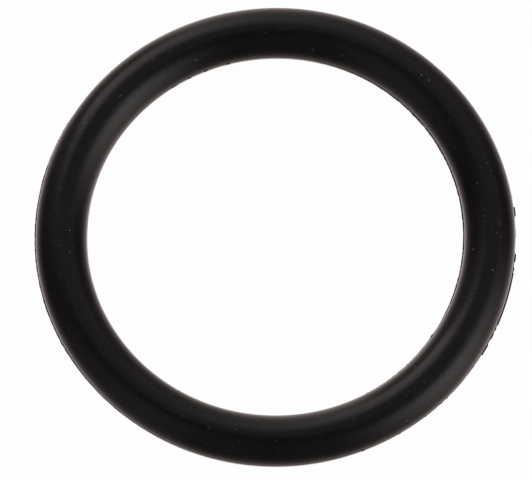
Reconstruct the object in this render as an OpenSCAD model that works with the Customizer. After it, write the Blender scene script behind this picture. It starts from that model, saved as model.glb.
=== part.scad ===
// Moulded rubber sealing ring with a round section and the thin flash
// that its two-part mould leaves round the outside and the inside edge.
// The ring lies flat in the XY plane with its centre at the origin.

/* [Ring] */
// Inside diameter, measured on the round section
inner_d = 22; // [4:0.5:90]
// Diameter of the round section
section_d = 3; // [1:0.1:8]

/* [Mould flash] */
// How far the flash stands out from the round section at the outside
outer_flash_reach = 0.08; // [0.02:0.01:0.2]
// How far the flash stands in from the round section at the inside
inner_flash_reach = 0.09; // [0.02:0.01:0.2]
// Thickness of the flash, which is the gap between the mould's halves
flash_t = 0.08; // [0.04:0.01:0.2]

/* [Colour] */
// Colour of the rubber
rubber_colour = "#1c1a1a"; // ["#1c1a1a":black, "#5a2a22":rust red, "#c9c6bd":natural]

/* [Hidden] */
section_r = section_d / 2;
// Distance from the ring's axis to the centre of its section
centreline_r = inner_d / 2 + section_r;
// Sides of the circles as drawn, round the section and round the ring
section_sides = 96;
sweep_sides = 240;

// Section of the ring: the round that the mould's two grooves form, and the
// film that fills the gap between them from the inside edge to the outside
module ring_section() {
    circle(r = section_r, $fn = section_sides);
    translate([-section_r - inner_flash_reach, -flash_t / 2])
        square([inner_flash_reach + section_d + outer_flash_reach, flash_t]);
}

// The ring, moulded in one piece
module o_ring() {
    color(rubber_colour)
        rotate_extrude($fn = sweep_sides)
            translate([centreline_r, 0])
                ring_section();
}

o_ring();
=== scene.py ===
import math

import bmesh
import bpy
from mathutils import Matrix, Vector, noise


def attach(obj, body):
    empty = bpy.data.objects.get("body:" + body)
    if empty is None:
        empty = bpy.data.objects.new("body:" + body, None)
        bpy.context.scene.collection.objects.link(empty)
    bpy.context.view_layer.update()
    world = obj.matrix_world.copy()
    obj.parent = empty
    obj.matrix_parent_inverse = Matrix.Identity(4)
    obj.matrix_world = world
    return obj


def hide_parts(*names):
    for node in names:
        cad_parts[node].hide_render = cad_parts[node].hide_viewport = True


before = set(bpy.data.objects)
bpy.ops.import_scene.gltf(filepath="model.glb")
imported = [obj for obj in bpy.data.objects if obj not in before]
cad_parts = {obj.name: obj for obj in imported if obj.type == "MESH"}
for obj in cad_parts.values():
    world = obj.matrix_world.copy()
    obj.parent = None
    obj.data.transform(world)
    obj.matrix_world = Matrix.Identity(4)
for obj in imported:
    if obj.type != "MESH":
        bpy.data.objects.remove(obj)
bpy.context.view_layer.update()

# The O-ring: one ring of black rubber with a round section, pressed and cured
# in a mould of two halves. The rubber creeps into the gap between them and
# leaves a thin torn film, the flash, round the outside and the inside edge.
mm = 0.001
inside_diameter = 22 * mm
section_diameter = 3 * mm
section_radius = section_diameter / 2
centreline_radius = inside_diameter / 2 + section_radius
# Thickness of the film where it leaves the ring, and at its edge
flash_thickness = 0.07 * mm
flash_edge_thickness = 0.04 * mm
# Angle over the section at which the film leaves the ring
root_angle = math.asin(flash_thickness / 2 / section_radius)
# How far the mould's seam stands out even where there is no film
parting_ridge = 0.004 * mm
# The furthest that the outside film stands out
longest_reach = 0.09 * mm
# How much the section's radius changes round the ring, and in how many waves to a radian
section_swell = 0.006 * mm
swell_waves = 1.3
# Steps of the mesh round the ring, and over each half of its section
steps_round = 1700
steps_over_section = 25

# How far the film stands out, in millimetres, by ring angle in degrees from +X
outside_flash = [(0, 0.02), (10, 0.01), (14, 0.0), (143, 0.0), (150, 0.042), (165, 0.06),
                 (178, 0.069), (192, 0.066), (202, 0.064), (210, 0.066), (225, 0.042), (240, 0.018),
                 (252, 0.0), (295, 0.0), (315, 0.01), (330, 0.04), (345, 0.06), (360, 0.02)]
inside_flash = [(0, 0.09), (18, 0.08), (36, 0.084), (45, 0.072), (60, 0.06), (72, 0.03), (84, 0.0),
                (262, 0.0), (290, 0.046), (304, 0.057), (318, 0.058), (330, 0.058), (344, 0.074),
                (360, 0.088)]
# Where a bit of film stayed on whole: its two ring angles, and how far it stands out
outside_tabs = [(4.7, 7.1, 0.08), (290.6, 291.6, 0.05), (300.3, 301.1, 0.045), (308.0, 308.5, 0.045),
                (313.0, 313.6, 0.05), (314.7, 315.3, 0.045), (328.6, 331.6, 0.095), (332.9, 334.8, 0.085),
                (335.4, 336.1, 0.075), (336.9, 350.6, 0.09), (350.9, 351.9, 0.085), (353.3, 355.2, 0.095)]
inside_tabs = [(104.3, 105.4, 0.064), (111.2, 112.6, 0.058), (116.8, 118.0, 0.05),
               (121.8, 123.8, 0.044), (264.3, 265.1, 0.05), (325.2, 326.4, 0.1)]
# Where the outside film was torn off short, and the share of it that is left there
outside_tears = [(1.6, 4.3), (7.4, 9.2), (321.4, 322.1), (355.9, 359.4)]
share_left = 0.25
# The torn film's edge is ragged: waves to a radian, and the share of the film that they add or take
ragged_waves = [(9.0, 0.20), (55.0, 0.28), (150.0, 0.24)]
# Where in the noise each of them starts, so that no two are alike
swell_start = 4.0
outside_start = 11.0
inside_start = 37.0
# How much thinner than round the ring is at its outside, where its mould fits less well, in millimetres
outside_hollow = [(0, 0.033), (15, 0.034), (30, 0.028), (45, 0.018), (60, 0.01), (75, 0.0),
                  (320, 0.0), (328, 0.038), (345, 0.048), (356, 0.043), (360, 0.033)]
# How far inward of a true circle the soft ring lies, in millimetres
inward_bow = [(0, 0.015), (25, 0.013), (45, 0.006), (60, 0.0), (178, 0.0), (188, -0.02),
              (204, -0.02), (214, 0.0), (312, 0.0), (334, 0.021), (348, 0.019), (360, 0.015)]


def along_ring(angle, points):
    """The value at a ring angle, on the straight line between the points on either side of it."""
    for (a0, v0), (a1, v1) in zip(points, points[1:]):
        if a0 <= angle <= a1:
            return v0 + (v1 - v0) * (angle - a0) / (a1 - a0)


def film_at(angle, points, tabs, tears, start):
    """How far the film stands out at a ring angle, and whether its edge is torn there."""
    for a0, a1, reach in tabs:
        if a0 < angle < a1:
            return reach * mm, False
    reach = along_ring(angle, points)
    turn = math.radians(angle)
    for waves, share in ragged_waves:
        spot = Vector((waves * math.cos(turn), waves * math.sin(turn), start + waves))
        reach *= 1 + share * noise.noise(spot)
    for a0, a1 in tears:
        if a0 < angle < a1:
            reach *= share_left
    return reach * mm, True


def section_at(angle):
    """Points round the section at a ring angle, and whether the outside and inside films are torn there."""
    turn = math.radians(angle)
    spot = Vector((swell_waves * math.cos(turn), swell_waves * math.sin(turn), swell_start))
    radius = section_radius + section_swell * noise.noise(spot)
    hollow = along_ring(angle, outside_hollow) * mm
    bow = along_ring(angle, inward_bow) * mm
    edge = flash_edge_thickness / 2
    outer, outer_torn = film_at(angle, outside_flash, outside_tabs, outside_tears, outside_start)
    inner, inner_torn = film_at(angle, inside_flash, inside_tabs, [], inside_start)
    outer_tip = section_radius + min(max(parting_ridge, outer) - hollow, longest_reach)
    inner_tip = -section_radius - max(parting_ridge, inner)
    upper = []
    span = math.pi - 2 * root_angle
    for k in range(steps_over_section + 1):
        over = root_angle + span * k / steps_over_section
        depth = radius - hollow * max(math.cos(over), 0.0) ** 2
        upper.append((depth * math.cos(over), depth * math.sin(over)))
    lower = [(x, -z) for x, z in reversed(upper)]
    points = upper + [(inner_tip, edge), (inner_tip, -edge)] + lower + [(outer_tip, -edge), (outer_tip, edge)]
    return [(x - bow, z) for x, z in points], outer_torn, inner_torn


ring_mesh = bpy.data.meshes.new("moulded_ring")
build = bmesh.new()
rows, torn_outside, torn_inside = [], [], []
for i in range(steps_round):
    angle = 360 * i / steps_round
    c, s = math.cos(math.radians(angle)), math.sin(math.radians(angle))
    points, outer_torn, inner_torn = section_at(angle)
    rows.append([build.verts.new((c * (centreline_radius + x), s * (centreline_radius + x), z))
                 for x, z in points])
    torn_outside.append(outer_torn)
    torn_inside.append(inner_torn)

# The steps round the section that are film, and the points where its surface turns sharply
count = len(rows[0])
inside_film = range(steps_over_section, steps_over_section + 3)
outside_film = range(2 * steps_over_section + 3, count)
corners = [0, *inside_film, inside_film.stop, *outside_film]
wrap = build.loops.layers.uv.new("ring_wrap")
torn_film = build.loops.layers.float.new("torn_film")
for i in range(steps_round):
    here, there = rows[i], rows[(i + 1) % steps_round]
    for k in range(count):
        n = (k + 1) % count
        face = build.faces.new((here[k], there[k], there[n], here[n]))
        face.smooth = True
        is_torn = (k in inside_film and torn_inside[i]) or (k in outside_film and torn_outside[i])
        for loop, (u, v) in zip(face.loops, ((i, k), (i + 1, k), (i + 1, k + 1), (i, k + 1))):
            loop[wrap].uv = (u / steps_round, v / count)
            loop[torn_film] = float(is_torn)
build.edges.ensure_lookup_table()
for i in range(steps_round):
    here, there = rows[i], rows[(i + 1) % steps_round]
    for k in corners:
        build.edges.get((here[k], there[k])).smooth = False
build.normal_update()
build.to_mesh(ring_mesh)
build.free()
ring = bpy.data.objects.new("ring", ring_mesh)
bpy.context.collection.objects.link(ring)


def add(tree, kind, *values, **settings):
    """A new node with these settings, whose sockets, by name or number, take the values or links given."""
    made = tree.nodes.new(kind)
    for key, value in settings.items():
        setattr(made, key, value)
    for socket, value in values:
        if isinstance(value, bpy.types.NodeSocket):
            tree.links.new(value, made.inputs[socket])
        else:
            made.inputs[socket].default_value = value
    return made


rubber = bpy.data.materials.new("black_rubber")
rubber.use_nodes = True
skin = rubber.node_tree
skin.nodes.clear()
place = add(skin, "ShaderNodeTexCoord").outputs["Object"]

# The skin takes its grain from the mould: a fine pitting and a coarser grain.
# Broader clouds show where the rubber flowed and cured a little differently.
pits_per_metre = 7500.0
grains_per_metre = 2600.0
clouds_per_metre = 420.0
pitting = add(skin, "ShaderNodeTexNoise", ("Vector", place), ("Scale", pits_per_metre), ("Detail", 2.0),
              ("Roughness", 0.6)).outputs["Fac"]
grain = add(skin, "ShaderNodeTexNoise", ("Vector", place), ("Scale", grains_per_metre), ("Detail", 3.0),
            ("Roughness", 0.55)).outputs["Fac"]
clouds = add(skin, "ShaderNodeTexNoise", ("Vector", place), ("Scale", clouds_per_metre), ("Detail", 4.0),
             ("Roughness", 0.6)).outputs["Fac"]

# Lint that clings to the rubber, by ring angle and by angle over the section
# from the outside: large bits, and small ones that cover less
large_lint = [(44.7, 159), (45.4, 81), (47.8, 83), (114.1, 133), (180.3, 110), (201.9, 146), (303.4, 30),
              (348.4, 76), (353.8, 130)]
large_lint_radius = 0.05 * mm
small_lint = [(1.0, 69), (3.3, 102), (13.2, 108), (15.6, 71), (17.9, 72), (70.1, 136), (79.0, 141),
              (186.7, 107), (259.1, 92), (350.6, 56), (357.6, 68), (358.6, 76)]
small_lint_radius = 0.048 * mm
small_lint_cover = 0.42
lint_core_radius = 0.02 * mm
# Short fibres: where the two ends of each lie, and how much it covers
fibres = [((138.7, 100), (137.3, 102), 0.35), ((89.7, 104), (86.0, 94), 0.13), ((2.4, 73), (0.9, 69), 0.3)]
fibre_half_width = 0.02 * mm
fibre_half_height = 0.06 * mm
# Fine dust and short hairs, strewn over the ring in three lots that lie three ways, in degrees
hair_directions = [20, 80, 140]
hair_spacing = 0.35 * mm
hair_stretch = 4.5
hair_cover = 0.15


def on_skin(angle, over):
    """The point on the round skin at a ring angle and an angle over the section."""
    turn, rise = math.radians(angle), math.radians(over)
    out = centreline_radius + section_radius * math.cos(rise)
    return Vector((out * math.cos(turn), out * math.sin(turn), section_radius * math.sin(rise)))


def away_from(point):
    """How far each place on the skin is from a point."""
    return add(skin, "ShaderNodeVectorMath", (0, place), (1, point), operation="DISTANCE").outputs["Value"]


def smaller(first, second):
    """The smaller of two values."""
    return add(skin, "ShaderNodeMath", (0, first), (1, second), operation="MINIMUM").outputs[0]


def larger(first, second):
    """The larger of two values."""
    return add(skin, "ShaderNodeMath", (0, first), (1, second), operation="MAXIMUM").outputs[0]


def nearest(spots):
    """How far each place on the skin is from the nearest of some spots on it."""
    found = away_from(on_skin(*spots[0]))
    for spot in spots[1:]:
        found = smaller(found, away_from(on_skin(*spot)))
    return found


def fade(value, start, end, most, least=0.0):
    """Goes evenly from the least, where the value is at start, to the most, where it is at end."""
    return add(skin, "ShaderNodeMapRange", ("Value", value), ("From Min", start), ("From Max", end),
               ("To Min", least), ("To Max", most)).outputs[0]


dusty = fade(nearest(large_lint), large_lint_radius, lint_core_radius, 1.0)
dusty = larger(dusty, fade(nearest(small_lint), small_lint_radius, lint_core_radius, small_lint_cover))
for start, end, fibre_cover in fibres:
    start, end = on_skin(*start), on_skin(*end)
    heading = (end - start).to_track_quat("X", "Z").to_euler()
    half_length = (end - start).length / 2
    laid = add(skin, "ShaderNodeMapping", ("Vector", place), ("Location", (start + end) / 2),
               ("Rotation", heading), ("Scale", (half_length, fibre_half_width, fibre_half_height)),
               vector_type="TEXTURE")
    off = add(skin, "ShaderNodeVectorMath", (0, laid.outputs["Vector"]), operation="LENGTH").outputs["Value"]
    dusty = larger(dusty, fade(off, 1.0, 0.6, fibre_cover))
for direction in hair_directions:
    laid = add(skin, "ShaderNodeMapping", ("Vector", place), ("Rotation", (0, 0, math.radians(direction))),
               ("Scale", (1, hair_stretch, 1)), vector_type="TEXTURE")
    hairs = add(skin, "ShaderNodeTexVoronoi", ("Vector", laid.outputs["Vector"]), ("Scale", 1 / hair_spacing),
                ("Randomness", 1.0))
    chance = add(skin, "ShaderNodeSeparateColor", ("Color", hairs.outputs["Color"])).outputs["Red"]
    fine_dust = add(skin, "ShaderNodeMath", (0, fade(hairs.outputs["Distance"], 0.11, 0.05, 1.0)),
                    (1, fade(chance, 0.0, 1.0, hair_cover)), operation="MULTIPLY").outputs[0]
    dusty = larger(dusty, fine_dust)
torn = add(skin, "ShaderNodeAttribute", attribute_name="torn_film").outputs["Fac"]

# The torn film is greyer than the skin, and the lint is pale
darkest_rubber = (0.0031, 0.0023, 0.0023, 1)
palest_rubber = (0.0064, 0.0050, 0.0051, 1)
torn_rubber = (0.02, 0.018, 0.0175, 1)
pale_lint = (0.16, 0.145, 0.14, 1)


def mixed(share, first, second):
    """A mix of two colours, which are sockets 6 and 7 of a Mix node. Its output 2 is the mixed one."""
    return add(skin, "ShaderNodeMix", (0, share), (6, first), (7, second), data_type="RGBA").outputs[2]


colour = mixed(dusty, mixed(torn, mixed(clouds, darkest_rubber, palest_rubber), torn_rubber), pale_lint)

# The skin is rougher where its grain stands up, and the torn film and the lint don't shine at all
smoothest_skin = 0.12
roughest_skin = 0.2
fine_roughness = 0.15
skin_roughness = fade(grain, 0.3, 0.7, roughest_skin, least=smoothest_skin)
dulled = larger(larger(dusty, torn), fade(pitting, 0.5, 0.7, fine_roughness))
roughness = add(skin, "ShaderNodeMath", (0, skin_roughness), (1, dulled), operation="ADD",
                use_clamp=True).outputs[0]

# Relief of the pitting, the grain and the lint, each on top of the one before
pit_depth = 0.007 * mm
grain_depth = 0.003 * mm
lint_height = 0.02 * mm
fine_bump = add(skin, "ShaderNodeBump", ("Height", pitting), ("Strength", 1.0), ("Distance", pit_depth))
broad_bump = add(skin, "ShaderNodeBump", ("Height", grain), ("Strength", 1.0), ("Distance", grain_depth),
                 ("Normal", fine_bump.outputs["Normal"]))
lint_bump = add(skin, "ShaderNodeBump", ("Height", dusty), ("Strength", 1.0), ("Distance", lint_height),
                ("Normal", broad_bump.outputs["Normal"]))
shade = add(skin, "ShaderNodeBsdfPrincipled", ("Base Color", colour), ("Roughness", roughness),
            ("IOR", 1.5), ("Normal", lint_bump.outputs["Normal"]))
add(skin, "ShaderNodeOutputMaterial", ("Surface", shade.outputs["BSDF"]))
ring_mesh.materials.append(rubber)
# The rubber mirrors the studio alone, which has its own lit table in place of the floor
ring.visible_glossy = False
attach(ring, "root")
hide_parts("o_ring")

# The floor: a plain white sheet that the ring lies on. The camera sees it
# white, less the ring's faint shadow. It is clear from below, so that the
# underside of the ring can be looked at.
floor_half_width = 0.6
floor_level = -section_radius
sheet_white = (0.95, 0.95, 0.95, 1)
pure_white = (1, 1, 1, 1)
# The share of what the camera sees of the sheet that takes no shadow
shadowless_share = 0.97
floor_corners = [(x * floor_half_width, y * floor_half_width, floor_level)
                 for x, y in ((-1, -1), (1, -1), (1, 1), (-1, 1))]
floor_mesh = bpy.data.meshes.new("white_floor")
floor_mesh.from_pydata(floor_corners, [], [(0, 1, 2, 3)])
floor = bpy.data.objects.new("floor", floor_mesh)
bpy.context.collection.objects.link(floor)
white = bpy.data.materials.new("white_sheet")
white.use_nodes = True
sheet = white.node_tree
sheet.nodes.clear()
matte = add(sheet, "ShaderNodeBsdfDiffuse", ("Color", sheet_white))
bright = add(sheet, "ShaderNodeEmission", ("Color", pure_white), ("Strength", 1.0))
clear = add(sheet, "ShaderNodeBsdfTransparent")
ray = add(sheet, "ShaderNodeLightPath")
seen = add(sheet, "ShaderNodeMath", (0, ray.outputs["Is Camera Ray"]), (1, shadowless_share),
           operation="MULTIPLY")
face_up = add(sheet, "ShaderNodeMixShader", (0, seen.outputs[0]), (1, matte.outputs[0]),
              (2, bright.outputs[0]))
side = add(sheet, "ShaderNodeNewGeometry")
both = add(sheet, "ShaderNodeMixShader", (0, side.outputs["Backfacing"]), (1, face_up.outputs[0]),
           (2, clear.outputs[0]))
add(sheet, "ShaderNodeOutputMaterial", ("Surface", both.outputs[0]))
floor_mesh.materials.append(white)
floor.visible_glossy = False

# The studio: even white light all round for the colours, and plain white for
# the camera. What the rubber mirrors is a dark room with seven softboxes, two
# of them strong, and the lit white table that the floor's sheet lies on.
even_light = 0.95
dark_room = (0.023, 0.021, 0.021)
world = bpy.data.worlds.new("studio")
bpy.context.scene.world = world
world.use_nodes = True
# Each kind of ray meets a light of its own, so the world isn't sampled as one lamp
world.cycles.sampling_method = "NONE"
studio = world.node_tree
studio.nodes.clear()


def calc(operation, *values):
    """The result of one sum on numbers or sockets."""
    return add(studio, "ShaderNodeMath", *enumerate(values), operation=operation).outputs[0]


def ramp(value, start, end):
    """A soft step from 0, where the value is at start, to 1, where it is at end."""
    return add(studio, "ShaderNodeMapRange", ("Value", value), ("From Min", start), ("From Max", end),
               ("To Min", 0.0), ("To Max", 1.0), interpolation_type="SMOOTHSTEP").outputs[0]


def light(colour, strength):
    """A colour times a strength that changes over the studio."""
    return add(studio, "ShaderNodeVectorMath", (0, colour), ("Scale", strength), operation="SCALE").outputs[0]


toward = add(studio, "ShaderNodeTexCoord").outputs["Generated"]
east, north, zenith = add(studio, "ShaderNodeSeparateXYZ", (0, toward)).outputs
bearing = calc("DEGREES", calc("ARCTAN2", north, east))
height = calc("DEGREES", calc("ARCSINE", zenith))


def softbox(centre, half_width, soft_sides, low, high, soft_ends, brightness, colour):
    """Light from one panel, with all angles in degrees.

    centre is the bearing of its middle, low and high are its lowest and highest point,
    soft_sides is how softly its clockwise and its anticlockwise side fade, and soft_ends
    is how softly its lower and its upper end fade.
    """
    off = calc("WRAP", calc("SUBTRACT", bearing, centre), 180.0, -180.0)
    clockwise = ramp(off, -half_width - soft_sides[0], -half_width + soft_sides[0])
    anticlockwise = ramp(off, half_width + soft_sides[1], half_width - soft_sides[1])
    bottom = ramp(height, low - soft_ends[0], low + soft_ends[0])
    top = ramp(height, high + soft_ends[1], high - soft_ends[1])
    mask = calc("MULTIPLY", calc("MULTIPLY", clockwise, anticlockwise), calc("MULTIPLY", bottom, top))
    return light(tuple(brightness * v for v in colour), mask)


front_right = softbox(centre=335, half_width=21, soft_sides=(25, 27), low=-14, high=46, soft_ends=(40, 21),
                      brightness=1.33, colour=(1, 0.92, 0.92))
back_left = softbox(centre=125, half_width=6, soft_sides=(33, 3), low=19, high=51, soft_ends=(5, 14),
                    brightness=1.4, colour=(1, 0.90, 0.89))
back = softbox(centre=82, half_width=28, soft_sides=(50, 4), low=-20, high=38, soft_ends=(2, 32),
               brightness=0.32, colour=(1, 0.92, 0.92))
corner = softbox(centre=113, half_width=23, soft_sides=(26, 45), low=-42, high=60, soft_ends=(4, 7),
                 brightness=0.37, colour=(1, 0.90, 0.90))
left = softbox(centre=214, half_width=23, soft_sides=(25, 12), low=-44, high=68, soft_ends=(40, 22),
               brightness=0.14, colour=(1, 0.93, 0.94))
overhead = softbox(centre=54, half_width=88, soft_sides=(28, 41), low=29, high=120, soft_ends=(6, 4),
                   brightness=0.14, colour=(1, 0.94, 0.95))
front = softbox(centre=270, half_width=45, soft_sides=(30, 30), low=-35, high=60, soft_ends=(25, 20),
                brightness=0.04, colour=(1, 0.92, 0.92))

# The table is bright under the ring and fades with distance, soonest in front.
# A reach is the distance that halves its light, in heights above the table.
table_brightness = 1.08
table_colour = (1.0, 0.85, 0.82)
reach_left = 1.08
reach_right = 1.4
reach_front = 0.62
reach_back = 2.1
# Degrees above and below the horizon between which the table begins
soft_horizon = 2
down = calc("MAXIMUM", calc("MULTIPLY", zenith, -1.0), 0.0001)
across = calc("DIVIDE", east, down)
along = calc("DIVIDE", north, down)
falloff = 1.0
for distance, way, reach in ((across, "MINIMUM", reach_left), (across, "MAXIMUM", reach_right),
                             (along, "MINIMUM", reach_front), (along, "MAXIMUM", reach_back)):
    spread = calc("DIVIDE", calc(way, distance, 0.0), reach)
    falloff = calc("ADD", falloff, calc("MULTIPLY", spread, spread))
table = calc("MULTIPLY", calc("DIVIDE", table_brightness, falloff), ramp(height, soft_horizon, -soft_horizon))
lit_table = light(table_colour, table)

mirrored = dark_room
for part in (front_right, back_left, back, corner, left, overhead, front, lit_table):
    mirrored = add(studio, "ShaderNodeVectorMath", (0, mirrored), (1, part), operation="ADD").outputs[0]
path = add(studio, "ShaderNodeLightPath")
even = add(studio, "ShaderNodeBackground", ("Color", pure_white), ("Strength", even_light))
room = add(studio, "ShaderNodeBackground", ("Color", mirrored), ("Strength", 1.0))
plain = add(studio, "ShaderNodeBackground", ("Color", pure_white), ("Strength", 1.0))
for_gloss = add(studio, "ShaderNodeMixShader", (0, path.outputs["Is Glossy Ray"]), (1, even.outputs[0]),
                (2, room.outputs[0]))
for_camera = add(studio, "ShaderNodeMixShader", (0, path.outputs["Is Camera Ray"]), (1, for_gloss.outputs[0]),
                 (2, plain.outputs[0]))
add(studio, "ShaderNodeOutputWorld", ("Surface", for_camera.outputs[0]))

# The camera: far off on a long lens, in front of the ring and 72 degrees up,
# with the ring a little right of and above the picture's middle
camera_bearing = math.radians(271.8)
camera_height = math.radians(71.93)
camera_distance = 0.63
pixels_per_mm = 17.16
picture_width = 532
sensor_width = 36.0
# How far left of and below the ring's centre the camera aims
aim_left = 0.584 * mm
aim_below = 0.230 * mm
back_axis = Vector((math.cos(camera_bearing) * math.cos(camera_height),
                    math.sin(camera_bearing) * math.cos(camera_height), math.sin(camera_height)))
north_axis = Vector((0, 1, 0))
up_axis = (north_axis - back_axis * north_axis.dot(back_axis)).normalized()
right_axis = up_axis.cross(back_axis)
lens = bpy.data.cameras.new("long_lens")
lens.type = "PERSP"
lens.sensor_width = sensor_width
lens.lens = sensor_width * pixels_per_mm * camera_distance / mm / picture_width
lens.clip_start, lens.clip_end = 0.01, 5.0
camera = bpy.data.objects.new("camera", lens)
bpy.context.collection.objects.link(camera)
aim = right_axis * -aim_left + up_axis * -aim_below
camera.location = aim + back_axis * camera_distance
camera.rotation_mode = "QUATERNION"
camera.rotation_quaternion = Matrix((right_axis, up_axis, back_axis)).transposed().to_quaternion()
bpy.context.scene.camera = camera
bpy.context.scene.view_settings.view_transform = "Standard"
